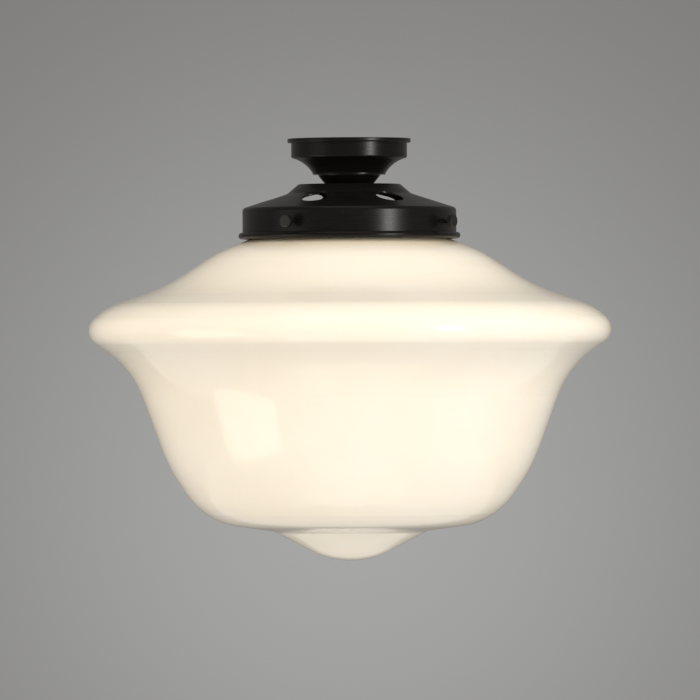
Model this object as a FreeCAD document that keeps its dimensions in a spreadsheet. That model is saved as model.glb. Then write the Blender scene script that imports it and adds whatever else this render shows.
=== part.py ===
"""Semi flush ceiling light: stepped canopy, slip-fitter shade holder and blown opal glass shade.

Frame: millimetres, +Z up, origin on the axis at the ceiling plane, so the light hangs towards -Z.
"Depth" is the distance below the ceiling plane, and "across" the distance from the axis.
"""
import FreeCAD, Part
import math
import os
import re
import Sketcher

doc = FreeCAD.newDocument("SemiFlushLight")
sheet = doc.addObject("Spreadsheet::Sheet", "Sizes")

# Driving dimensions, in millimetres and degrees. Depths are below the ceiling plane.
SIZES = {
    # sheet metal and general fits
    "gauge": 1.0,                    # wall of the canopy and of the holder
    "inner_rounding": 0.3,           # least rounding inside a bend of that wall
    "thread_gap": 0.05,              # radial gap between a thread and its hole
    # canopy
    "canopy_radius": 44.05,
    "canopy_side": 14.5,             # depth of the corner under the straight side
    "cove_across": 33.1,             # corner of the two tangents of the cove
    "cove_depth": 17.6,
    "cove_rounding": 25.0,
    "canopy_foot_radius": 27.7,
    "canopy_foot": 0.9,              # short straight rim under the cove
    "canopy_height": 27.3,
    "rim_radius": 46.85,
    "rim_height": 3.2,
    "rim_rounding": 0.9,
    # neck between the canopy and the holder
    "neck_radius": 23.6,
    "neck_foot_radius": 18.2,
    "neck_height": 7.3,
    "neck_side": 0.8,                # straight band at the top of the neck
    "neck_rounding": 2.0,
    "neck_recess_radius": 14.0,
    "neck_floor": 3.0,
    # threaded nipple and its hardware
    "nipple_radius": 5.1,
    "nipple_bore": 4.0,
    "nipple_top": 12.0,
    "nipple_tail": 1.2,              # thread that stands past the last nut
    "nut_across_flats": 14.0,
    "nut_height": 3.2,
    "washer_radius": 8.5,
    "washer_height": 1.2,
    # crossbar
    "bar_length": 82.0,
    "bar_width": 16.0,
    "bar_gauge": 2.0,
    "bar_drop": 16.0,                # depth of the top of its middle
    "bar_middle": 50.0,              # length of the lowered middle, outside its legs
    "box_screw_spacing": 69.85,
    "slot_length": 8.4,
    "slot_radius": 2.2,
    "ground_screw_across": 15.0,
    "ground_screw_radius": 2.0,
    "ground_screw_length": 6.0,
    "ground_head_radius": 4.2,
    "ground_head_height": 2.4,
    # shade holder
    "holder_top_radius": 38.6,
    "holder_shoulder_across": 46.9,
    "holder_shoulder_depth": 7.1,    # below the top of the holder
    "skirt_radius": 81.3,
    "skirt_height": 23.3,            # corner of shoulder and skirt, above the foot of the holder
    "holder_height": 41.6,
    "shoulder_rounding": 6.0,
    "skirt_rounding": 3.0,
    "bead_radius": 2.45,
    "bead_reach": 3.05,              # how far the bead stands out of the skirt
    "bead_rounding": 2.4,
    "vent_radius": 10.5,
    "vent_across": 56.0,
    "vent_count": 6,
    "vent_azimuth": 3.0,
    # thumbscrews
    "screw_count": 4,
    "screw_azimuth": 58.5,
    "screw_rise": 12.7,              # axis of the thumbscrews above the foot of the holder
    "screw_radius": 1.9,
    "screw_gap": 0.05,               # running clearance in the boss
    "screw_tip_rounding": 1.14,
    "screw_head_radius": 4.95,
    "screw_head_thickness": 4.0,
    "screw_head_stand": 7.7,         # inner face of the head, outside the skirt
    "head_inner_rounding": 0.48,
    "head_outer_rounding": 0.8,
    "screw_head_bore": 2.8,          # blind hole that holds the end of the shank
    "screw_end_gap": 0.3,            # end of the shank to the bottom of that hole
    "screw_tip_gap": 0.3,            # tip to the glass neck
    "knurl_count": 24,
    "flute_radius": 0.56,            # of one groove of the knurl
    "flute_offset": 0.21,            # centre of the groove, outside the head
    "boss_radius": 4.2,
    "boss_spigot_radius": 3.0,
    "boss_length": 3.0,              # inside the skirt
    # glass shade
    "glass_wall": 3.5,
    "neck_space": 7.8,               # between the glass neck and the skirt
    "lip_space": 4.7,                # between the glass lip and the skirt
    "lip_gap": 0.4,                  # between the lip and the thumbscrews that carry it
    "lip_height": 4.5,
    "lip_rounding": 1.8,
    # lampholder
    "bracket_gauge": 1.2,
    "bracket_edge": 0.85,            # strap beside the hole for the nipple
    "bracket_middle": 24.4,
    "bracket_length": 36.0,
    "bracket_rise": 18.0,
    "bracket_screw_across": 15.4,
    "bracket_screw_radius": 1.7,
    "bracket_screw_length": 6.0,
    "pan_head_radius": 3.1,
    "pan_head_height": 1.9,
    "pan_share": 0.6,                # rounding of a screw's head, as a share of its height
    "porcelain_radius": 19.5,
    "porcelain_mouth_radius": 18.0,
    "porcelain_height": 46.0,
    "porcelain_floor": 8.0,
    "porcelain_side": 29.9,          # straight side, from the top
    "porcelain_edge": 1.5,
    "porcelain_waist": 6.0,          # rounding where the side starts to narrow
    "shell_bore": 13.65,
    "shell_wall": 0.6,
    "shell_length": 26.0,
    "contact_radius": 4.5,
    "contact_height": 2.5,
    "contact_space": 1.5,            # between the centre contact and the shell
    "contact_edge": 0.25,
    "contact_dome": 1.0,
    "contact_tip_radius": 2.25,
    "terminal_across": 12.5,
    "terminal_length": 9.0,
    "terminal_width": 7.0,
    "terminal_gauge": 0.8,
    "terminal_rounding": 1.5,
    "terminal_screw_radius": 1.6,
    "terminal_screw_length": 4.5,
    "terminal_head_radius": 2.6,
    "terminal_head_height": 1.6,
    # leads and their connectors
    "lead_radius": 1.1,
    "lead_across": 1.4,              # place of a lead in the nipple
    "lead_bend": 3.6,                # rounding of the upper bend
    "lead_low_bend": 2.52,           # rounding of the two lower bends
    "lead_end_across": 10.3,
    "lead_turn": 4.64,               # height of the lowest bend over the terminal
    "lead_rise": 2.0,                # rise of the slanted run between the two lower bends
    "lead_tail": 5.0,                # height of the upper run over the top of the nipple
    "connector_mouth": 15.0,
    "connector_length": 19.0,
    "connector_radius": 5.2,
    "connector_tip_radius": 3.4,
    "connector_skirt_bore": 3.4,
    "connector_skirt": 5.0,
    "connector_edge": 0.6,
    "connector_tip_rounding": 1.5,
    "connector_bore_length": 8.0,
    # bulb
    "contact_gap": 0.3,
    "eyelet_radius": 4.8,
    "eyelet_height": 1.6,
    "eyelet_rounding": 0.8,
    "insulator_height": 4.0,
    "insulator_reach": 0.8,          # how far its small end stands outside the eyelet
    "insulator_edge": 0.3,
    "base_radius": 13.15,
    "base_root": 12.5,
    "base_wall": 0.6,
    "base_length": 20.0,
    "thread_pitch": 3.63,
    "thread_start": 2.0,
    "thread_rounding": 0.5,
    "bulb_collar_radius": 13.0,
    "bulb_collar_height": 12.0,
    "bulb_housing_radius": 27.0,
    "bulb_housing_height": 32.0,
    "bulb_radius": 30.0,
    "bulb_length": 110.0,
    "bulb_wall": 1.2,
    "bulb_collar_rounding": 12.0,
    "bulb_widest": 7.5,              # widest level of the diffuser, over the middle of its round end
    "bulb_belly_rounding": 20.0,
    "bulb_end_share": 0.97,          # rounding of its end, as a share of its radius
}

# The outside of the shade below its neck: across, depth below the holder and rounding of each corner of
# its tangents, from the fillet under the neck, over the flared rim, down the body to the drop at the foot.
# From the shoulder to the crease, across counts from the neck, so that the body keeps its lines if the
# holder widens. The drop counts from the axis.
SHADE_CORNERS = {
    "throat": (0.0, -1.3, 4.0),
    "shoulder": (27.3, 9.3, 90.0),
    "hollow": (67.2, 35.7, 140.0),
    "brim": (114.9, 52.2, 44.0),
    "flare": (133.1, 71.0, 12.7),
    "waist": (93.5, 98.9, 73.0),
    "side": (66.1, 173.7, 130.0),
    "belly": (46.7, 202.4, 58.0),
    "base": (27.1, 216.6, 52.0),
    "crease": (-14.3, 222.4, 14.0),
    "drop": (16.4, 244.4, 60.0),
}
FROM_AXIS = ("drop",)
for corner, (across, depth, rounding) in SHADE_CORNERS.items():
    SIZES[corner + "_across"] = across
    SIZES[corner + "_depth"] = depth
    SIZES[corner + "_round"] = rounding

for row, (alias, number) in enumerate(SIZES.items(), start=1):
    sheet.set("A%d" % row, alias)
    sheet.set("B%d" % row, str(number))
    sheet.setAlias("B%d" % row, alias)
doc.recompute()

# Levels and reaches that several pieces share, as expressions over the sheet.
NECK_BOTTOM = "(canopy_height + neck_height)"
HOLDER_BOTTOM = f"({NECK_BOTTOM} + holder_height)"
BEND = "(gauge + inner_rounding)"
HOLE = "(nipple_radius + thread_gap)"
HOLDER_INSIDE = f"({NECK_BOTTOM} + gauge)"
HOLDER_NUT = f"({HOLDER_INSIDE} + washer_height)"
BRACKET_TOP = f"({HOLDER_NUT} + nut_height)"
SOCKET_NUT = f"({BRACKET_TOP} + bracket_gauge)"
NIPPLE_BOTTOM = f"({SOCKET_NUT} + nut_height + nipple_tail)"
PORCELAIN_TOP = f"({BRACKET_TOP} + bracket_rise)"
SHELL_TOP = f"({PORCELAIN_TOP} + porcelain_floor)"
CONTACT_TIP = f"({SHELL_TOP} + contact_height)"
EYELET_TOP = f"({CONTACT_TIP} + contact_gap)"
INSULATOR_TOP = f"({EYELET_TOP} + eyelet_height)"
BASE_TOP = f"({INSULATOR_TOP} + insulator_height)"
BASE_BOTTOM = f"({BASE_TOP} + base_length)"
HOUSING_BOTTOM = f"({BASE_BOTTOM} + bulb_housing_height)"
BULB_BOTTOM = f"({EYELET_TOP} + bulb_length)"
WASHER_TOP = "(canopy_height - gauge - washer_height)"
SKIRT_BORE = "(skirt_radius - gauge)"
SCREW_DEPTH = f"({HOLDER_BOTTOM} - screw_rise)"
SCREW_HEAD = "(skirt_radius + screw_head_stand)"
LIP_BOTTOM = f"({SCREW_DEPTH} - screw_radius - lip_gap)"
LIP_TOP = f"({LIP_BOTTOM} - lip_height)"
LIP_RADIUS = f"({SKIRT_BORE} - lip_space)"
GLASS_NECK = f"({SKIRT_BORE} - neck_space)"
SCREW_TIP = f"({GLASS_NECK} + screw_tip_gap)"
BOSS_INNER = f"({SKIRT_BORE} - boss_length)"
SHELL_OUTSIDE = "(shell_bore + shell_wall)"
BAR_BOTTOM = "(bar_drop + bar_gauge)"
LEAD_RUN = "(nipple_top - lead_tail)"


def size(expression):
    """Value of an expression over the sheet."""
    return float(sheet.evalExpression(str(expression)))


def linked(expression):
    """The same expression, as another object of the document has to write it."""
    def prefix(match):
        word = match.group(0)
        return "Sizes." + word if word in SIZES else word
    return re.sub(r"[A-Za-z_][A-Za-z_0-9]*", prefix, str(expression))


def bind(thing, **properties):
    """Bind properties of an object to expressions over the sheet."""
    for name, expression in properties.items():
        thing.setExpression(name, linked(expression))


def place(thing, across=0, along=0, depth=0, turn=None):
    """Put an object at a point, with its position bound to the sheet."""
    rotation = turn or FreeCAD.Rotation()
    base = FreeCAD.Vector(size(across), size(along), -size(depth))
    thing.Placement = FreeCAD.Placement(base, rotation)
    thing.setExpression("Placement.Base.x", linked(across))
    thing.setExpression("Placement.Base.y", linked(along))
    thing.setExpression("Placement.Base.z", linked(f"-({depth})"))


def new_body(label):
    """An empty body with its own label."""
    body = doc.addObject("PartDesign::Body", label)
    body.Label = label
    return body


def origin_feature(body, role):
    """One of the planes or axes of a body's own origin."""
    return next(item for item in body.Origin.OriginFeatures if item.Role == role)


def new_sketch(body, name, plane="XZ_Plane", offset=0):
    """A sketch on one of the body's own origin planes."""
    sketch = body.newObject("Sketcher::SketchObject", name)
    sketch.AttachmentSupport = [(origin_feature(body, plane), "")]
    sketch.MapMode = "FlatFace"
    if offset:
        sketch.AttachmentOffset.Base.z = size(offset)
        sketch.setExpression("AttachmentOffset.Base.z", linked(offset))
    return sketch


def fix_point(sketch, geometry, end, across, up):
    """Bind a point of the sketch to its two coordinates."""
    for kind, expression in (("DistanceX", across), ("DistanceY", up)):
        value = size(expression)
        if abs(value) < 1e-9:
            axis = -2 if kind == "DistanceX" else -1
            sketch.addConstraint(Sketcher.Constraint("PointOnObject", geometry, end, axis))
            continue
        row = sketch.addConstraint(Sketcher.Constraint(kind, -1, 1, geometry, end, value))
        sketch.setExpression("Constraints[%d]" % row, linked(expression))


def rounded_corner(before, corner, after, rounding):
    """The tangent arc in a corner: its two ends in order, and the arc itself."""
    backward = (before - corner).normalize()
    forward = (after - corner).normalize()
    half = backward.getAngle(forward) / 2
    reach = rounding / math.tan(half)
    first = corner + backward * reach
    last = corner + forward * reach
    middle = (backward + forward).normalize()
    centre = corner + middle * (rounding / math.sin(half))
    turns_left = backward.cross(forward).z < 0
    start, end = (first, last) if turns_left else (last, first)
    ring = Part.Circle(centre, FreeCAD.Vector(0, 0, 1), rounding)
    return first, last, Part.ArcOfCircle(ring, ring.parameter(start), ring.parameter(end))


def outline(sketch, corners, down=True, closed=True):
    """Straight edges through corners of (across, depth, rounding), with tangent arcs where rounded."""
    sign = -1 if down else 1
    ups = ["(%s)*(%s)" % (sign, depth) for _, depth, *_ in corners]
    points = [FreeCAD.Vector(size(corner[0]), size(up), 0) for corner, up in zip(corners, ups)]
    count = len(points)
    rounding = [corner[2] if len(corner) > 2 else None for corner in corners]
    starts, ends, arcs = list(points), list(points), {}
    for index in range(count):
        if rounding[index] is not None:
            before, after = points[index - 1], points[(index + 1) % count]
            ends[index], starts[index], arcs[index] = rounded_corner(
                before, points[index], after, size(rounding[index]))
    edges = count if closed else count - 1
    lines = []
    for index in range(edges):
        line = Part.LineSegment(starts[index], ends[(index + 1) % count])
        lines.append(sketch.addGeometry(line, False))
    for index in range(count):
        if not closed and index in (0, count - 1):
            line, end = (lines[0], 1) if index == 0 else (lines[-1], 2)
            fix_point(sketch, line, end, corners[index][0], ups[index])
            continue
        coming, leaving = lines[index - 1], lines[index % len(lines)]
        if index not in arcs:
            sketch.addConstraint(Sketcher.Constraint("Coincident", coming, 2, leaving, 1))
            fix_point(sketch, leaving, 1, corners[index][0], ups[index])
            continue
        arc = sketch.addGeometry(arcs[index], False)
        start_is_first = (sketch.Geometry[arc].StartPoint - ends[index]).Length < 1e-6
        first, last = (1, 2) if start_is_first else (2, 1)
        corner = sketch.addGeometry(Part.Point(points[index]), True)
        sketch.addConstraint(Sketcher.Constraint("Tangent", coming, 2, arc, first))
        sketch.addConstraint(Sketcher.Constraint("Tangent", arc, last, leaving, 1))
        sketch.addConstraint(Sketcher.Constraint("PointOnObject", corner, 1, coming))
        sketch.addConstraint(Sketcher.Constraint("PointOnObject", corner, 1, leaving))
        fix_point(sketch, corner, 1, corners[index][0], ups[index])
        row = sketch.addConstraint(Sketcher.Constraint("Radius", arc, size(rounding[index])))
        sketch.setExpression("Constraints[%d]" % row, linked(rounding[index]))
    return sketch


def circle(sketch, radius, across=0, up=0):
    """A circle bound to its radius and centre."""
    centre = FreeCAD.Vector(size(across), size(up), 0)
    ring = Part.Circle(centre, FreeCAD.Vector(0, 0, 1), size(radius))
    index = sketch.addGeometry(ring, False)
    row = sketch.addConstraint(Sketcher.Constraint("Radius", index, size(radius)))
    sketch.setExpression("Constraints[%d]" % row, linked(radius))
    fix_point(sketch, index, 3, across, up)
    return sketch


def slot(sketch, near, far, radius):
    """A slot along the sketch's first axis, between the centres of its round ends."""
    left, right = FreeCAD.Vector(size(near), 0, 0), FreeCAD.Vector(size(far), 0, 0)
    up = FreeCAD.Vector(0, size(radius), 0)
    axis = FreeCAD.Vector(0, 0, 1)
    quarter = math.pi / 2
    edges = [
        Part.LineSegment(left - up, right - up),
        Part.ArcOfCircle(Part.Circle(right, axis, size(radius)), -quarter, quarter),
        Part.LineSegment(right + up, left + up),
        Part.ArcOfCircle(Part.Circle(left, axis, size(radius)), quarter, 3 * quarter)]
    for edge in edges:
        sketch.addGeometry(edge, False)
    for index in range(4):
        sketch.addConstraint(Sketcher.Constraint("Tangent", index, 2, (index + 1) % 4, 1))
    fix_point(sketch, 1, 3, far, 0)
    fix_point(sketch, 3, 3, near, 0)
    sketch.addConstraint(Sketcher.Constraint("Equal", 1, 3))
    row = sketch.addConstraint(Sketcher.Constraint("Radius", 1, size(radius)))
    sketch.setExpression("Constraints[%d]" % row, linked(radius))
    return sketch


def revolve(body, corners, name="Profile", down=True, refine=True):
    """Turn an outline about the body's own Z axis and add it to the body."""
    sketch = outline(new_sketch(body, name), corners, down)
    feature = body.newObject("PartDesign::Revolution", name + "Turned")
    feature.Profile = sketch
    feature.ReferenceAxis = (origin_feature(body, "Z_Axis"), [""])
    feature.Angle = 360
    feature.Refine = refine
    doc.recompute()
    return feature


def turned(label, corners, down=True):
    """A body that is one turned piece."""
    body = new_body(label)
    revolve(body, corners, "Profile", down)
    return body


def pad(body, sketch, length, centred=False):
    """Pad a sketch by a bound length."""
    feature = body.newObject("PartDesign::Pad", sketch.Name + "Pad")
    feature.Profile = sketch
    feature.Midplane = centred
    bind(feature, Length=length)
    doc.recompute()
    return feature


def cut_through(body, sketch, both=True, refine=True):
    """Cut a sketch all the way through the body."""
    before = body.Shape.Volume
    feature = body.newObject("PartDesign::Pocket", sketch.Name + "Cut")
    feature.Profile = sketch
    feature.Type = 1
    feature.Midplane = both
    feature.Refine = refine
    doc.recompute()
    if feature.Shape.Volume > before - 1e-3:
        raise RuntimeError("%s cuts nothing" % feature.Name)
    return feature


def repeat_about_axis(body, feature, count):
    """Repeat a feature evenly about the body's own Z axis."""
    pattern = body.newObject("PartDesign::PolarPattern", feature.Name + "Ring")
    pattern.Originals = [feature]
    pattern.Axis = (origin_feature(body, "Z_Axis"), [""])
    pattern.Angle = 360
    bind(pattern, Occurrences=count)
    body.Tip = pattern
    doc.recompute()
    return pattern


def hollow(body, wall, height):
    """Shell the body inwards, open at its flat face at the given height."""
    solid = body.Tip
    faces = ["Face%d" % (number + 1) for number, face in enumerate(solid.Shape.Faces)
             if abs(face.CenterOfMass.z - size(height)) < 1e-4
             and abs(abs(face.normalAt(0, 0).z) - 1) < 1e-6]
    shell = body.newObject("PartDesign::Thickness", "Hollow")
    shell.Base = (solid, faces)
    shell.Mode = 0
    shell.Join = 1
    shell.Reversed = True
    bind(shell, Value=wall)
    doc.recompute()
    return shell


def around(azimuth):
    """A rotation about the vertical axis."""
    return FreeCAD.Rotation(FreeCAD.Vector(0, 0, 1), azimuth)


def make_canopy():
    """Stepped pan that covers the ceiling box, with a rolled rim."""
    body = turned("canopy", [
        (0, 0), ("canopy_radius", 0), ("canopy_radius", "canopy_side", BEND),
        ("cove_across", "cove_depth", "cove_rounding"),
        ("canopy_foot_radius", "canopy_height - canopy_foot"),
        ("canopy_foot_radius", "canopy_height"), (0, "canopy_height")])
    hollow(body, "gauge", 0)
    revolve(body, [
        ("canopy_radius - gauge/2", 0), ("rim_radius", 0, "rim_rounding/2"),
        ("rim_radius", "rim_height", "rim_rounding"), ("canopy_radius - gauge/2", "rim_height")],
        "Rim", refine=False)
    cut_through(body, circle(new_sketch(body, "StemHole", "XY_Plane"), HOLE), refine=False)
    return body


def hat_strip(label, middle, length, rise, gauge, width, top, feet_up):
    """Strip folded into a hat: a middle, two legs and two feet, padded to its width about the axis."""
    body = new_body(label)
    near, far = (f"({top}) + ({rise})", top) if feet_up else (top, f"({top}) + ({rise})")
    inner = "(%s)/2 - (%s)" % (middle, gauge)
    outer = "(%s)/2" % middle
    foot = "(%s)/2" % length
    if feet_up:
        half = [(0, f"{near} + {gauge}"), (outer, f"{near} + {gauge}"), (outer, f"{far} + {gauge}"),
                (foot, f"{far} + {gauge}"), (foot, far), (inner, far), (inner, near), (0, near)]
    else:
        half = [(0, near), (outer, near), (outer, f"{far} - {gauge}"), (foot, f"{far} - {gauge}"),
                (foot, far), (inner, far), (inner, f"{near} + {gauge}"), (0, f"{near} + {gauge}")]
    mirror = [(f"-({across})", depth) for across, depth in reversed(half[1:-1])]
    sketch = outline(new_sketch(body, "Fold"), half + mirror)
    pad(body, sketch, width, centred=True)
    return body


def make_crossbar():
    """Steel bar that the ceiling box's two screws hold, with a lowered middle for the nipple."""
    body = hat_strip("mounting_crossbar", "bar_middle", "bar_length", "bar_drop", "bar_gauge", "bar_width",
                     "0", True)
    cut_through(body, circle(new_sketch(body, "StemHole", "XY_Plane"), HOLE))
    cut_through(body, circle(new_sketch(body, "GroundHole", "XY_Plane"), "ground_screw_radius",
                             "ground_screw_across"))
    half = "(slot_length/2 - slot_radius)"
    for side in (-1, 1):
        centre = "%d*box_screw_spacing/2" % side
        sketch = new_sketch(body, "Slot%d" % (side + 2), "XY_Plane")
        cut_through(body, slot(sketch, f"({centre} - {half})", f"({centre} + {half})", "slot_radius"))
    return body


def make_tube(label, outside, inside, top, bottom):
    """A plain ring or tube between two depths."""
    return turned(label, [(inside, top), (outside, top), (outside, bottom), (inside, bottom)])


def make_nut(label, top):
    """Hexagon nut on the nipple."""
    body = new_body(label)
    sketch = new_sketch(body, "Hexagon", "XY_Plane", "-(%s + nut_height)" % top)
    corner = "nut_across_flats/2/cos(30)"
    edges = 6
    for index in range(edges):
        ends = []
        for step in (index, index + 1):
            angle = math.radians(360 / edges * step)
            ends.append(FreeCAD.Vector(size(corner) * math.cos(angle), size(corner) * math.sin(angle), 0))
        sketch.addGeometry(Part.LineSegment(*ends), False)
    for index in range(edges):
        sketch.addConstraint(Sketcher.Constraint("Coincident", index, 2, (index + 1) % edges, 1))
        fix_point(sketch, index, 1, f"{corner}*cos({360 / edges * index})",
                  f"{corner}*sin({360 / edges * index})")
    circle(sketch, HOLE)
    pad(body, sketch, "nut_height")
    return body


def make_neck():
    """Turned neck that spaces the holder below the canopy, hollow from above."""
    body = turned("neck", [
        (HOLE, f"{NECK_BOTTOM} - neck_floor"), ("neck_recess_radius", f"{NECK_BOTTOM} - neck_floor"),
        ("neck_recess_radius", "canopy_height"), ("neck_radius", "canopy_height"),
        ("neck_radius", "canopy_height + neck_side", "neck_rounding"),
        ("neck_foot_radius", NECK_BOTTOM), (HOLE, NECK_BOTTOM)])
    return body


def make_holder():
    """Spun slip fitter: sloping shoulder with round vents, straight skirt and a rolled bead."""
    body = turned("shade_holder", [
        (0, NECK_BOTTOM), ("holder_top_radius", NECK_BOTTOM, BEND),
        ("holder_shoulder_across", f"{NECK_BOTTOM} + holder_shoulder_depth", "shoulder_rounding"),
        ("skirt_radius", f"{HOLDER_BOTTOM} - skirt_height", "skirt_rounding"),
        ("skirt_radius", HOLDER_BOTTOM), (0, HOLDER_BOTTOM)])
    hollow(body, "gauge", f"-{HOLDER_BOTTOM}")
    middle = "(skirt_radius - gauge/2)"
    reach = "(skirt_radius + bead_reach)"
    revolve(body, [
        (middle, f"{HOLDER_BOTTOM} - 2*bead_radius"),
        (reach, f"{HOLDER_BOTTOM} - 2*bead_radius", "bead_rounding"),
        (reach, HOLDER_BOTTOM, "bead_rounding"), (middle, HOLDER_BOTTOM)], "Bead")
    cut_through(body, circle(new_sketch(body, "StemHole", "XY_Plane"), HOLE))
    local = "(vent_azimuth - screw_azimuth)"
    vent = cut_through(body, circle(new_sketch(body, "Vent", "XY_Plane"), "vent_radius",
                                    f"vent_across*cos({local})", f"vent_across*sin({local})"))
    repeat_about_axis(body, vent, "vent_count")
    sketch = circle(new_sketch(body, "ScrewHole"), "boss_spigot_radius", 0, f"-{SCREW_DEPTH}")
    hole = cut_through(body, sketch, both=False)
    repeat_about_axis(body, hole, "screw_count")
    body.Placement = FreeCAD.Placement(FreeCAD.Vector(), around(size("screw_azimuth")))
    body.setExpression("Placement.Rotation.Angle", linked("screw_azimuth"))
    return body


def radial(azimuth):
    """Rotation that lays a piece's own Z axis along a radius."""
    return around(azimuth).multiply(FreeCAD.Rotation(FreeCAD.Vector(0, 1, 0), 90))


def place_on_radius(body, across, azimuth):
    """Put a turned piece on a thumbscrew's axis, starting at a distance from the middle."""
    place(body, f"({across})*cos({azimuth})", f"({across})*sin({azimuth})", SCREW_DEPTH,
          radial(size(azimuth)))


def make_boss(number, azimuth):
    """Threaded boss of one thumbscrew, riveted in the skirt, with ends that follow the skirt's curve."""
    bore = "(screw_radius + screw_gap)"
    bodies = []
    for name, radius, limit in (("Collar", "boss_radius", SKIRT_BORE),
                                ("Spigot", "boss_spigot_radius", "skirt_radius")):
        tube = doc.addObject("Part::Cylinder", f"Boss{name}{number}")
        bind(tube, Radius=radius, Height=f"skirt_radius + gauge - {BOSS_INNER}")
        place_on_radius(tube, BOSS_INNER, azimuth)
        drum = doc.addObject("Part::Cylinder", f"Boss{name}Limit{number}")
        bind(drum, Radius=limit, Height="4*boss_radius")
        place(drum, 0, 0, f"{SCREW_DEPTH} + 2*boss_radius")
        piece = doc.addObject("Part::Common", f"Boss{name}Curved{number}")
        piece.Base = tube
        piece.Tool = drum
        bodies.append(piece)
    joined = doc.addObject("Part::MultiFuse", f"BossJoined{number}")
    joined.Shapes = bodies
    drill = doc.addObject("Part::Cylinder", f"BossDrill{number}")
    bind(drill, Radius=bore, Height="4*boss_length")
    place_on_radius(drill, f"{BOSS_INNER} - boss_length", azimuth)
    boss = doc.addObject("Part::Cut", f"thumbscrew_boss_{number}")
    boss.Base = joined
    boss.Tool = drill
    return boss


def make_screw_shank(number, azimuth):
    """Threaded shank of a thumbscrew, from its rounded tip at the glass to its end inside the head."""
    length = f"({SCREW_HEAD} + screw_head_bore - screw_end_gap - {SCREW_TIP})"
    body = turned(f"thumbscrew_{number}_shank", [
        (0, 0), ("screw_radius", 0, "screw_tip_rounding"), ("screw_radius", length), (0, length)],
        down=False)
    place_on_radius(body, SCREW_TIP, azimuth)
    return body


def make_screw_head(number, azimuth):
    """Knurled head of a thumbscrew, with a blind hole for the end of its shank."""
    bore = "(screw_radius + screw_gap)"
    body = turned(f"thumbscrew_{number}_head", [
        (bore, 0), ("screw_head_radius", 0, "head_inner_rounding"),
        ("screw_head_radius", "screw_head_thickness", "head_outer_rounding"),
        (0, "screw_head_thickness"), (0, "screw_head_bore"), (bore, "screw_head_bore")], down=False)
    sketch = circle(new_sketch(body, "Flute", "XY_Plane"), "flute_radius",
                    "screw_head_radius + flute_offset")
    flute = cut_through(body, sketch)
    repeat_about_axis(body, flute, "knurl_count")
    place_on_radius(body, SCREW_HEAD, azimuth)
    return body


def make_shade():
    """Blown opal glass: rolled lip, neck, sloping shoulder, flared rim, tapering body and a drop."""
    chain = []
    for corner in SHADE_CORNERS:
        across = f"{corner}_across" if corner in FROM_AXIS else f"{GLASS_NECK} + {corner}_across"
        chain.append((across, f"{HOLDER_BOTTOM} + {corner}_depth", f"{corner}_round"))
    body = turned("glass_shade", [(0, LIP_TOP), (GLASS_NECK, LIP_TOP)] + chain
                  + [(0, f"{HOLDER_BOTTOM} + drop_depth")])
    hollow(body, "glass_wall", f"-{LIP_TOP}")
    inside = f"({GLASS_NECK} - glass_wall/2)"
    revolve(body, [
        (inside, LIP_TOP), (LIP_RADIUS, LIP_TOP, "lip_rounding"),
        (LIP_RADIUS, LIP_BOTTOM, "lip_rounding"), (inside, LIP_BOTTOM)], "Lip")
    return body


def make_bracket():
    """Folded strap that carries the lampholder on the nipple."""
    body = hat_strip("lampholder_bracket", "bracket_middle", "bracket_length", "bracket_rise",
                     "bracket_gauge", f"2*({HOLE} + bracket_edge)", BRACKET_TOP, False)
    cut_through(body, circle(new_sketch(body, "StemHole", "XY_Plane"), HOLE))
    for side in (-1, 1):
        sketch = new_sketch(body, "ScrewHole%d" % (side + 2), "XY_Plane")
        cut_through(body, circle(sketch, "bracket_screw_radius", "%d*bracket_screw_across" % side))
    return body


def make_screw(label, radius, length, head_radius, head_height, across, along, depth):
    """Pan-head screw that points down, with its seat at the given depth."""
    body = turned(label, [
        (0, f"-({head_height})"), (head_radius, f"-({head_height})", f"({head_height})*pan_share"),
        (head_radius, 0), (radius, 0), (radius, length), (0, length)])
    place(body, across, along, depth)
    return body


def drill_down(body, name, radius, across, along, top, length):
    """Blind hole from the top of the body."""
    before = body.Shape.Volume
    sketch = circle(new_sketch(body, name, "XY_Plane", f"-({top})"), radius, across, along)
    pocket = body.newObject("PartDesign::Pocket", name + "Cut")
    pocket.Profile = sketch
    bind(pocket, Length=length)
    doc.recompute()
    if pocket.Shape.Volume > before - 1e-3:
        raise RuntimeError("%s cuts nothing" % name)


def make_porcelain():
    """Glazed porcelain body of the lampholder."""
    bottom = f"({PORCELAIN_TOP} + porcelain_height)"
    body = turned("lampholder_body", [
        (0, PORCELAIN_TOP), ("porcelain_radius", PORCELAIN_TOP, "porcelain_edge"),
        ("porcelain_radius", f"{PORCELAIN_TOP} + porcelain_side", "porcelain_waist"),
        ("porcelain_mouth_radius", bottom, "porcelain_edge"), (SHELL_OUTSIDE, bottom),
        (SHELL_OUTSIDE, SHELL_TOP), (0, SHELL_TOP)])
    for side in (-1, 1):
        drill_down(body, "BracketScrew%d" % (side + 2), "bracket_screw_radius",
                   "%d*bracket_screw_across" % side, 0, PORCELAIN_TOP,
                   "bracket_screw_length - bracket_gauge")
        drill_down(body, "Terminal%d" % (side + 2), "terminal_screw_radius", 0,
                   "%d*(terminal_across + terminal_length/4)" % side, PORCELAIN_TOP,
                   "terminal_screw_length - terminal_gauge")
    return body


def make_screw_shell():
    """Screw shell of the lampholder, closed at its top by a ring."""
    return turned("lampholder_screw_shell", [
        ("contact_radius + contact_space", SHELL_TOP), (SHELL_OUTSIDE, SHELL_TOP),
        (SHELL_OUTSIDE, f"{SHELL_TOP} + shell_length"), ("shell_bore", f"{SHELL_TOP} + shell_length"),
        ("shell_bore", f"{SHELL_TOP} + shell_wall"),
        ("contact_radius + contact_space", f"{SHELL_TOP} + shell_wall")])


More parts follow.
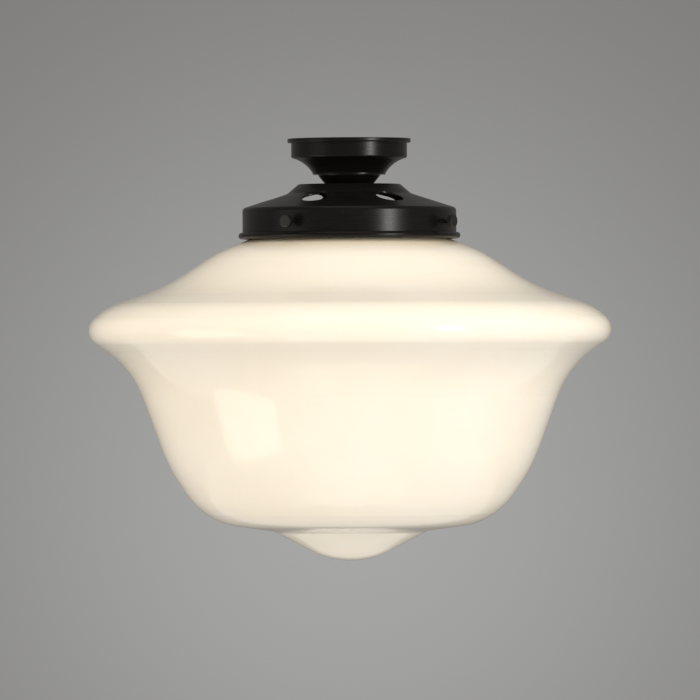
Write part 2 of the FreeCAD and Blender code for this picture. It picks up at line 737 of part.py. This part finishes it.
def make_centre_contact():
    """Domed centre contact in the lampholder."""
    return turned("lampholder_centre_contact", [
        (0, SHELL_TOP), ("contact_radius", SHELL_TOP),
        ("contact_radius", f"{SHELL_TOP} + shell_wall", "contact_edge"),
        ("contact_tip_radius", CONTACT_TIP, "contact_dome"), (0, CONTACT_TIP)])


def make_terminal(label, side):
    """Flat brass terminal on top of the porcelain, under its screw."""
    body = new_body(label)
    half = "terminal_width/2"
    near, far = "terminal_across - terminal_length/2", "terminal_across + terminal_length/2"
    sketch = new_sketch(body, "Plate", "XY_Plane", f"-({PORCELAIN_TOP})")
    outline(sketch, [(f"-{half}", near), (half, near), (half, far, "terminal_rounding"),
                     (f"-{half}", far, "terminal_rounding")], down=False)
    pad(body, sketch, "terminal_gauge")
    hole = "terminal_across + terminal_length/4"
    cut_through(body, circle(new_sketch(body, "Hole", "XY_Plane"), "terminal_screw_radius", 0, hole))
    body.Placement = FreeCAD.Placement(FreeCAD.Vector(), around(0 if side > 0 else 180))
    return body


def make_lead(label, side):
    """Insulated lead from a terminal, up the nipple and over into its connector."""
    body = new_body(label)
    end = f"({PORCELAIN_TOP} - terminal_gauge)"
    low = f"({end} - lead_turn)"
    path = outline(new_sketch(body, "Route", "YZ_Plane"), [
        ("lead_end_across", end), ("lead_end_across", low, "lead_low_bend"),
        ("lead_across", f"{low} - lead_rise", "lead_low_bend"), ("lead_across", LEAD_RUN, "lead_bend"),
        ("connector_mouth + connector_skirt + connector_bore_length", LEAD_RUN)], closed=False)
    section = circle(new_sketch(body, "Section", "XY_Plane", f"-{end}"), "lead_radius", 0,
                     "lead_end_across")
    pipe = body.newObject("PartDesign::AdditivePipe", "Pipe")
    pipe.Profile = section
    pipe.Spine = path
    doc.recompute()
    body.Placement = FreeCAD.Placement(FreeCAD.Vector(), around(0 if side > 0 else 180))
    length = path.Shape.Length
    drift = body.Shape.Volume / (math.pi * size("lead_radius") ** 2 * length)
    print("%s: length %.1f, volume over section times length %.4f" % (label, length, drift))
    return body


def make_connector(label, side):
    """Twist-on wire connector, its mouth towards the nipple."""
    body = turned(label, [
        ("lead_radius", "connector_skirt"), ("connector_skirt_bore", "connector_skirt"),
        ("connector_skirt_bore", 0), ("connector_radius", 0, "connector_edge"),
        ("connector_tip_radius", "connector_length", "connector_tip_rounding"), (0, "connector_length"),
        (0, "connector_skirt + connector_bore_length"),
        ("lead_radius", "connector_skirt + connector_bore_length")], down=False)
    turn = FreeCAD.Rotation(FreeCAD.Vector(1, 0, 0), -90 * side)
    place(body, 0, "%d*connector_mouth" % side, LEAD_RUN, turn)
    return body


def make_bulb_base():
    """Screw shell of the bulb, its rolled thread drawn as rings one pitch apart."""
    corners = [("base_root - base_wall", BASE_TOP), ("base_root", BASE_TOP)]
    turns = int(size("(base_length - thread_start)/thread_pitch"))
    for turn in range(turns):
        start = f"{BASE_TOP} + thread_start + {turn}*thread_pitch"
        for quarter, radius in enumerate(("base_root", "base_radius", "base_radius", "base_root")):
            corners.append((radius, f"{start} + {quarter}*thread_pitch/4", "thread_rounding"))
    corners += [("base_root", BASE_BOTTOM), ("base_root - base_wall", BASE_BOTTOM)]
    return turned("bulb_screw_base", corners)


def make_bulb():
    """Lamp of the common screw-in shape: contact, insulator, base, housing and diffuser."""
    eyelet = turned("bulb_eyelet", [
        (0, EYELET_TOP), ("eyelet_radius", EYELET_TOP, "eyelet_rounding"), ("eyelet_radius", INSULATOR_TOP),
        (0, INSULATOR_TOP)])
    bond = "(base_root - base_wall - screw_gap)"
    insulator = turned("bulb_insulator", [
        (0, INSULATOR_TOP), ("eyelet_radius + insulator_reach", INSULATOR_TOP, "insulator_edge"),
        (bond, BASE_TOP),
        (bond, f"{BASE_TOP} + bulb_wall - contact_gap"), (0, f"{BASE_TOP} + bulb_wall - contact_gap")])
    base = make_bulb_base()
    collar = f"({BASE_BOTTOM} + bulb_collar_height)"
    housing = turned("bulb_housing", [
        (0, BASE_TOP + " + bulb_wall"), ("base_root - base_wall", BASE_TOP + " + bulb_wall"),
        ("base_root - base_wall", BASE_BOTTOM), ("bulb_collar_radius", BASE_BOTTOM),
        ("bulb_collar_radius", collar, "bulb_collar_rounding"), ("bulb_housing_radius", HOUSING_BOTTOM),
        (0, HOUSING_BOTTOM)])
    inner = "(bulb_housing_radius - bulb_wall)"
    widest = f"{BULB_BOTTOM} - bulb_radius - bulb_widest"
    diffuser = turned("bulb_diffuser", [
        (inner, HOUSING_BOTTOM), ("bulb_housing_radius", HOUSING_BOTTOM),
        ("bulb_radius", widest, "bulb_belly_rounding"),
        ("bulb_radius", BULB_BOTTOM, "bulb_radius*bulb_end_share"),
        (0, BULB_BOTTOM), (0, f"{BULB_BOTTOM} - bulb_wall"),
        ("bulb_radius - bulb_wall", f"{BULB_BOTTOM} - bulb_wall",
         "(bulb_radius - bulb_wall)*bulb_end_share"),
        ("bulb_radius - bulb_wall", widest, "bulb_belly_rounding")])
    return [eyelet, insulator, base, housing, diffuser]


def build():
    """Make every sub-part, in the order of the stack from the ceiling down."""
    nodes = [
        make_canopy(),
        make_crossbar(),
        make_tube("threaded_nipple", "nipple_radius", "nipple_bore", "nipple_top", NIPPLE_BOTTOM),
        make_nut("crossbar_locknut", BAR_BOTTOM),
        make_tube("canopy_washer", "washer_radius", HOLE, WASHER_TOP, "canopy_height - gauge"),
        make_nut("canopy_nut", f"({WASHER_TOP} - nut_height)"),
        make_neck(),
        make_holder(),
        make_tube("holder_washer", "washer_radius", HOLE, HOLDER_INSIDE, HOLDER_NUT),
        make_nut("holder_nut", HOLDER_NUT),
        make_bracket(),
        make_nut("bracket_nut", SOCKET_NUT),
        make_screw("ground_screw", "ground_screw_radius", "ground_screw_length",
                   "ground_head_radius", "ground_head_height", "ground_screw_across", 0, "bar_drop"),
        make_porcelain(),
        make_screw_shell(),
        make_centre_contact(),
        make_shade(),
    ]
    for side, name in ((-1, "left"), (1, "right")):
        nodes.append(make_screw(f"bracket_screw_{name}", "bracket_screw_radius", "bracket_screw_length",
                                "pan_head_radius", "pan_head_height", "%d*bracket_screw_across" % side, 0,
                                f"{PORCELAIN_TOP} - bracket_gauge"))
    for side, name in ((-1, "black"), (1, "white")):
        nodes.append(make_terminal(f"terminal_{name}", side))
        nodes.append(make_screw(f"terminal_screw_{name}", "terminal_screw_radius", "terminal_screw_length",
                                "terminal_head_radius", "terminal_head_height", 0,
                                "%d*(terminal_across + terminal_length/4)" % side,
                                f"{PORCELAIN_TOP} - terminal_gauge"))
        nodes.append(make_lead(f"lead_{name}", side))
        nodes.append(make_connector(f"wire_connector_{name}", side))
    for number in range(1, int(size("screw_count")) + 1):
        azimuth = "(screw_azimuth + %d*360/screw_count)" % (number - 1)
        nodes.append(make_boss(number, azimuth))
        nodes.append(make_screw_shank(number, azimuth))
        nodes.append(make_screw_head(number, azimuth))
    nodes += make_bulb()
    return nodes


def check_and_write(nodes):
    """Stop on any failed object or shape, then write one STEP file for each sub-part."""
    doc.recompute()
    for item in doc.Objects:
        if "Invalid" in item.State or "Error" in item.State:
            raise RuntimeError("%s is %s" % (item.Name, item.State))
    for node in nodes:
        shape = node.Shape
        if shape.isNull() or not shape.isValid() or len(shape.Solids) != 1:
            raise RuntimeError("%s has no valid single solid" % node.Label)
    os.makedirs("parts", exist_ok=True)
    for node in nodes:
        node.Shape.exportStep("parts/%s.step" % node.Label)
    print("%d nodes written" % len(nodes))


check_and_write(build())
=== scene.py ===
"""Looks of the semi flush ceiling light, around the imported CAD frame. Metres, +Z up, seen from -Y."""

import math

import bpy
from mathutils import Matrix, Vector

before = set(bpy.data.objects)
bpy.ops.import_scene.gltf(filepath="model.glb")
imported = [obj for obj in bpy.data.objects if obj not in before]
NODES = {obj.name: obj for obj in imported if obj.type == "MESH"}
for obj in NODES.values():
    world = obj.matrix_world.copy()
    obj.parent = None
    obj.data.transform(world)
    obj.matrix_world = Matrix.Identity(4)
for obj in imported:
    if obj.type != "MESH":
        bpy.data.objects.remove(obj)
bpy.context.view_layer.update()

# Camera: a long lens, level with the middle of the light
CAMERA_DISTANCE = 6.46
CAMERA_HEIGHT = -0.1607
CAMERA_LENS = 437.0
CAMERA_NEAR = 0.1
CAMERA_FAR = 100.0
SENSOR_WIDTH = 36.0
CAMERA_ROLL = 0.27
HALF_VIEW = SENSOR_WIDTH / 2 / CAMERA_LENS

# Floor: low enough that a view from below is still above it
FLOOR_HEIGHT = -7.0
FLOOR_RADIUS = 12.0
FLOOR_SIDES = 96

# Wall: a glow behind the shade, measured in half widths of the view
GLOW_DROP = 0.42  # centre of the glow below the middle of the view
GLOW_FALL = -0.62
WALL_DARK = (0.188, 0.184, 0.178, 1)
WALL_LIGHT = (0.385, 0.385, 0.380, 1)
AMBIENT_COLOUR = (1.0, 0.92, 0.80, 1)
AMBIENT_STRENGTH = 1.07

# Levels of the opal glass's neck, in metres below the ceiling
# Painted shade: from this level up to the holder's foot the glass is tinted warm and darker, standing in for
# shade under the holder
PAINTED_SHADE_FOOT = -0.086  # where the warm band under the holder begins
HOLDER_FOOT = -0.0765
# Painted shade: above the holder's foot the neck is darkened, fully so from this level up
NECK_HIDDEN = -0.0735  # above this the neck is inside the holder

# The span that a noise mostly keeps to, and the depth of the finest relief
NOISE_LOW = 0.3
NOISE_HIGH = 0.7
FINE_RELIEF = 0.00002

# Lights: name, azimuth, elevation, distance, width, height, power, colour
LIGHT_TARGET = (0, 0, -0.15)
LIGHTS = (
    ("key", 43, 3, 2.4, 0.36, 1.0, 18.0, (1.0, 0.99, 0.975)),
    ("low", 5, -66, 1.5, 1.2, 0.9, 1.5, (1.0, 0.89, 0.75)),
    ("fill_left", -66, -20, 2.2, 1.3, 1.6, 9, (1.0, 0.88, 0.74)),
    ("top", 0, 75, 2.2, 1.6, 1.6, 4, (1.0, 0.98, 0.95)),
)

SCREWS = range(1, 5)

SLOT_OF = {
    "black_metal": ["canopy", "neck", "shade_holder"] + [f"thumbscrew_boss_{n}" for n in SCREWS],
    "black_steel": [f"thumbscrew_{n}_{part}" for n in SCREWS for part in ("shank", "head")],
    "opal_glass": ["glass_shade"],
    "zinc_steel": [
        "mounting_crossbar", "threaded_nipple", "crossbar_locknut", "canopy_washer", "canopy_nut",
        "holder_washer", "holder_nut", "lampholder_bracket", "bracket_nut",
        "bracket_screw_left", "bracket_screw_right", "terminal_white", "terminal_screw_white",
    ],
    "green_screw": ["ground_screw"],
    "porcelain": ["lampholder_body"],
    "brass": [
        "lampholder_screw_shell", "lampholder_centre_contact", "terminal_black", "terminal_screw_black",
        "bulb_eyelet",
    ],
    "nickel": ["bulb_screw_base"],
    "black_insulation": ["lead_black"],
    "white_insulation": ["lead_white"],
    "connector_plastic": ["wire_connector_black", "wire_connector_white"],
    "vitrite": ["bulb_insulator"],
    "bulb_plastic": ["bulb_housing"],
    "diffuser": ["bulb_diffuser"],
}

# Plated metals: dark and light tone, then the lowest and highest roughness
PLATED = {
    "zinc_steel": ((0.50, 0.51, 0.52, 1), (0.68, 0.69, 0.69, 1), 0.30, 0.42),
    "green_screw": ((0.03, 0.22, 0.08, 1), (0.07, 0.36, 0.15, 1), 0.28, 0.38),
    "brass": ((0.60, 0.42, 0.18, 1), (0.80, 0.60, 0.29, 1), 0.24, 0.36),
    "nickel": ((0.62, 0.60, 0.56, 1), (0.75, 0.73, 0.69, 1), 0.16, 0.26),
}

# Plastics, glazes and insulation: the same, then the scale of their clouds and their coat where they differ
MOULDED = {
    "porcelain": ((0.84, 0.82, 0.77, 1), (0.90, 0.89, 0.85, 1), 0.16, 0.24, 90.0, 0.6),
    "black_insulation": ((0.018, 0.018, 0.018, 1), (0.035, 0.035, 0.034, 1), 0.42, 0.55),
    "white_insulation": ((0.76, 0.75, 0.71, 1), (0.85, 0.84, 0.80, 1), 0.42, 0.55),
    "connector_plastic": ((0.76, 0.33, 0.05, 1), (0.86, 0.43, 0.09, 1), 0.34, 0.46),
    "vitrite": ((0.015, 0.012, 0.02, 1), (0.045, 0.035, 0.055, 1), 0.10, 0.18, 200.0, 0.4),
    "bulb_plastic": ((0.83, 0.83, 0.80, 1), (0.88, 0.88, 0.86, 1), 0.30, 0.40),
    "diffuser": ((0.89, 0.88, 0.83, 1), (0.93, 0.92, 0.88, 1), 0.45, 0.55),
}


def make_camera():
    data = bpy.data.cameras.new("camera")
    data.sensor_width = SENSOR_WIDTH
    data.lens = CAMERA_LENS
    data.clip_start = CAMERA_NEAR
    data.clip_end = CAMERA_FAR
    camera = bpy.data.objects.new("camera", data)
    bpy.context.scene.collection.objects.link(camera)
    turn = Matrix.Rotation(math.radians(CAMERA_ROLL), 4, "Y") @ Matrix.Rotation(math.pi / 2, 4, "X")
    camera.matrix_world = Matrix.Translation((0, -CAMERA_DISTANCE, CAMERA_HEIGHT)) @ turn
    bpy.context.scene.camera = camera


class Maker:
    """Builds a node tree from short calls. A value that is a socket is linked, and any other is set."""

    def __init__(self, name, world=False):
        if world:
            self.data = bpy.data.worlds.new(name)
        else:
            self.data = bpy.data.materials.new(name)
        self.data.use_nodes = True
        self.tree = self.data.node_tree
        self.tree.nodes.clear()

    def node(self, kind, inputs=None, **settings):
        made = self.tree.nodes.new(kind)
        for key, value in settings.items():
            setattr(made, key, value)
        for key, value in (inputs or {}).items():
            self.feed(made.inputs[key], value)
        return made

    def feed(self, socket, value):
        if isinstance(value, bpy.types.NodeSocket):
            self.tree.links.new(value, socket)
        else:
            socket.default_value = value

    def math(self, operation, a, b=0.0, clamp=False):
        made = self.node("ShaderNodeMath", {0: a, 1: b}, operation=operation, use_clamp=clamp)
        return made.outputs[0]

    def add(self, a, b, clamp=False):
        return self.math("ADD", a, b, clamp)

    def times(self, a, b):
        return self.math("MULTIPLY", a, b)

    def mix(self, share, a, b):
        made = self.node("ShaderNodeMix", data_type="RGBA", blend_type="MIX")
        self.feed(made.inputs[0], share)
        self.feed(made.inputs[6], a)
        self.feed(made.inputs[7], b)
        return made.outputs[2]

    def spread(self, value, low, high, to_low, to_high, smooth=False):
        made = self.node(
            "ShaderNodeMapRange",
            {0: value, 1: low, 2: high, 3: to_low, 4: to_high},
            interpolation_type="SMOOTHSTEP" if smooth else "LINEAR",
        )
        return made.outputs[0]

    def vary(self, noise, low, high):
        """A noise, spread from one value to another."""
        return self.spread(noise, NOISE_LOW, NOISE_HIGH, low, high)

    def place(self):
        """The point in the object's own frame, in metres, as a vector and as x, y, z."""
        vector = self.node("ShaderNodeTexCoord").outputs["Object"]
        parts = self.node("ShaderNodeSeparateXYZ", {0: vector}).outputs
        return vector, parts[0], parts[1], parts[2]

    def combine(self, x, y, z):
        return self.node("ShaderNodeCombineXYZ", {0: x, 1: y, 2: z}).outputs[0]

    def noise(self, vector, scale, detail=2.0, roughness=0.5):
        made = self.node(
            "ShaderNodeTexNoise",
            {"Vector": vector, "Scale": scale, "Detail": detail, "Roughness": roughness},
        )
        return made.outputs[0]

    def bump(self, height, depth, strength):
        made = self.node("ShaderNodeBump", {"Height": height, "Distance": depth, "Strength": strength})
        return made.outputs[0]

    def surface(self, **inputs):
        shader = self.node("ShaderNodeBsdfPrincipled")
        for key, value in inputs.items():
            self.feed(shader.inputs[key.replace("_", " ")], value)
        out = self.node("ShaderNodeOutputMaterial")
        self.tree.links.new(shader.outputs[0], out.inputs["Surface"])
        return self.data


def spun_vector(m, around=60.0, across=2600.0):
    """Fine rings about the Z axis, as a spinning tool leaves: z and the radius count, and the turn hardly."""
    _, x, y, z = m.place()
    radius = m.math("SQRT", m.add(m.times(x, x), m.times(y, y)))
    return m.combine(m.times(x, around), m.times(z, across), m.times(radius, across))


def black_metal():
    """Satin black paint over spun steel: faint rings, a fine peel and broad clouds."""
    m = Maker("black_metal")
    vector = m.place()[0]
    rings = m.noise(spun_vector(m), 1.0, 3.0, 0.6)
    peel = m.noise(vector, 1400.0, 2.0)
    clouds = m.noise(vector, 45.0, 3.0)
    tone = m.mix(clouds, (0.0020, 0.0019, 0.0018, 1), (0.0038, 0.0036, 0.0033, 1))
    tone = m.mix(m.spread(rings, 0.35, 0.75, 0.0, 0.35), tone, (0.010, 0.0096, 0.0088, 1))
    gloss = m.add(m.vary(clouds, 0.27, 0.31), m.vary(rings, -0.03, 0.03))
    height = m.add(rings, m.times(peel, 0.6))
    return m.surface(
        Base_Color=tone,
        Roughness=gloss,
        Normal=m.bump(height, FINE_RELIEF, 0.6),
        Specular_IOR_Level=0.30,
    )


def black_steel():
    """Blackened steel of the thumbscrews."""
    m = Maker("black_steel")
    vector = m.place()[0]
    clouds = m.noise(vector, 240.0, 3.0)
    grain = m.noise(vector, 2200.0, 2.0)
    return m.surface(
        Base_Color=m.mix(clouds, (0.004, 0.004, 0.0042, 1), (0.009, 0.0088, 0.0085, 1)),
        Roughness=m.vary(grain, 0.24, 0.36),
        Normal=m.bump(grain, FINE_RELIEF, 0.5),
        Specular_IOR_Level=0.6,
    )


def opal_glass():
    """Blown opal glass: slow swirls, small seeds, a painted warm shade band under the holder and painted
    shade darkening the neck inside it.
    """
    m = Maker("opal_glass")
    vector, _, _, z = m.place()
    swirl = m.noise(vector, 14.0, 3.0)
    seeds = m.node("ShaderNodeTexVoronoi", {"Vector": vector, "Scale": 160.0}).outputs["Distance"]
    seed_mask = m.spread(seeds, 0.035, 0.06, 1.0, 0.0)
    tone = m.mix(m.vary(swirl, 0.0, 1.0), (0.955, 0.870, 0.760, 1), (0.965, 0.900, 0.815, 1))
    # Painted shade: a warm, darker band on the glass just under the holder's bead
    painted_shade_band = m.spread(z, PAINTED_SHADE_FOOT, HOLDER_FOOT, 0.0, 0.8, smooth=True)
    tone = m.mix(painted_shade_band, tone, (0.95, 0.80, 0.60, 1))
    # Painted shade: the neck inside the holder is coloured dark brown, standing in for the holder's shade on
    # it
    painted_neck_shade = m.spread(z, HOLDER_FOOT, NECK_HIDDEN, 0.0, 1.0, smooth=True)
    tone = m.mix(painted_neck_shade, tone, (0.20, 0.14, 0.09, 1))
    tone = m.mix(m.times(seed_mask, 0.25), tone, (0.86, 0.80, 0.70, 1))
    wave = m.noise(vector, 22.0, 2.0)
    return m.surface(
        Base_Color=tone,
        Roughness=m.vary(swirl, 0.10, 0.14),
        IOR=1.5,
        Subsurface_Weight=0.35,
        Subsurface_Radius=(1.0, 0.8, 0.6),
        Subsurface_Scale=0.006,
        Coat_Weight=0.5,
        Coat_Roughness=0.04,
        Normal=m.bump(wave, 0.0006, 0.35),
    )


def plated(name, dark, light, low, high, along=120.0, lines=900.0):
    """Bare or plated metal with fine drawn lines and a cloudy tone."""
    m = Maker(name)
    vector, x, y, z = m.place()
    clouds = m.noise(vector, 130.0, 4.0)
    drawn = m.noise(m.combine(m.times(x, along), m.times(y, lines), m.times(z, lines)), 1.0)
    return m.surface(
        Base_Color=m.mix(clouds, dark, light),
        Metallic=1.0,
        Roughness=m.add(m.vary(clouds, low, high), m.vary(drawn, -0.04, 0.04)),
        Normal=m.bump(drawn, FINE_RELIEF, 0.4),
    )


def moulded(name, dark, light, low, high, scale=300.0, coat=0.0):
    """Plastic, glaze or insulation: a slight tone change, fine grain and its own gloss."""
    m = Maker(name)
    vector = m.place()[0]
    clouds = m.noise(vector, scale, 3.0)
    grain = m.noise(vector, scale * 8, 2.0)
    return m.surface(
        Base_Color=m.mix(clouds, dark, light),
        Roughness=m.vary(grain, low, high),
        Coat_Weight=coat,
        Coat_Roughness=0.08,
        Normal=m.bump(grain, FINE_RELIEF, 0.4),
    )


def make_materials():
    materials = {"black_metal": black_metal(), "black_steel": black_steel(), "opal_glass": opal_glass()}
    materials.update({name: plated(name, *values) for name, values in PLATED.items()})
    materials.update({name: moulded(name, *values) for name, values in MOULDED.items()})
    return materials


def dress_nodes(materials):
    for slot, names in SLOT_OF.items():
        for name in names:
            data = NODES[name].data
            data.materials.clear()
            data.materials.append(materials[slot])


def make_world():
    """A grey wall for the camera, gloss and glass, with a glow behind the shade, and a plain soft light."""
    m = Maker("room", world=True)
    direction = m.node("ShaderNodeTexCoord").outputs["Generated"]
    parts = m.node("ShaderNodeSeparateXYZ", {0: direction}).outputs
    u = m.math("DIVIDE", parts[0], HALF_VIEW)
    v = m.math("DIVIDE", parts[2], HALF_VIEW)
    low = m.add(v, GLOW_DROP)
    spot = m.add(m.times(u, u), m.times(low, low))
    glow = m.math("EXPONENT", m.times(spot, GLOW_FALL))
    wall = m.mix(glow, WALL_DARK, WALL_LIGHT)
    path = m.node("ShaderNodeLightPath").outputs
    seen = m.add(path["Is Camera Ray"], path["Is Glossy Ray"], clamp=True)
    seen = m.add(seen, path["Is Transmission Ray"], clamp=True)
    ambient = m.node("ShaderNodeBackground", {"Color": AMBIENT_COLOUR, "Strength": AMBIENT_STRENGTH})
    back = m.node("ShaderNodeBackground", {"Color": wall, "Strength": 1.0})
    both = m.node("ShaderNodeMixShader", {0: seen, 1: ambient.outputs[0], 2: back.outputs[0]})
    out = m.node("ShaderNodeOutputWorld")
    m.tree.links.new(both.outputs[0], out.inputs["Surface"])
    bpy.context.scene.world = m.data


def make_floor():
    """A plain pale disc under the whole room."""
    angles = [2 * math.pi * n / FLOOR_SIDES for n in range(FLOOR_SIDES)]
    points = [(FLOOR_RADIUS * math.cos(a), FLOOR_RADIUS * math.sin(a), 0) for a in angles]
    mesh = bpy.data.meshes.new("floor")
    mesh.from_pydata(points, [], [list(range(FLOOR_SIDES))])
    floor = bpy.data.objects.new("floor", mesh)
    floor.location.z = FLOOR_HEIGHT
    bpy.context.scene.collection.objects.link(floor)
    m = Maker("floor")
    clouds = m.noise(m.place()[0], 1.5, 4.0)
    mesh.materials.append(
        m.surface(
            Base_Color=m.mix(clouds, (0.50, 0.52, 0.56, 1), (0.53, 0.55, 0.59, 1)),
            Roughness=0.75,
            Specular_IOR_Level=0.2,
        )
    )


def make_light(name, azimuth, elevation, distance, width, height, power, colour):
    """A soft panel aimed at the light, from an azimuth (0 at the camera, 90 to its right) and elevation."""
    data = bpy.data.lights.new(name, "AREA")
    data.shape = "RECTANGLE"
    data.size = width
    data.size_y = height
    data.energy = power
    data.color = colour
    lamp = bpy.data.objects.new(name, data)
    a = math.radians(azimuth)
    e = math.radians(elevation)
    away = Vector((math.sin(a) * math.cos(e), -math.cos(a) * math.cos(e), math.sin(e)))
    lamp.location = Vector(LIGHT_TARGET) + away * distance
    lamp.rotation_euler = (-away).to_track_quat("-Z", "Y").to_euler()
    bpy.context.scene.collection.objects.link(lamp)


make_camera()
dress_nodes(make_materials())
make_world()
make_floor()
for light in LIGHTS:
    make_light(*light)
bpy.context.scene.view_settings.view_transform = "Standard"
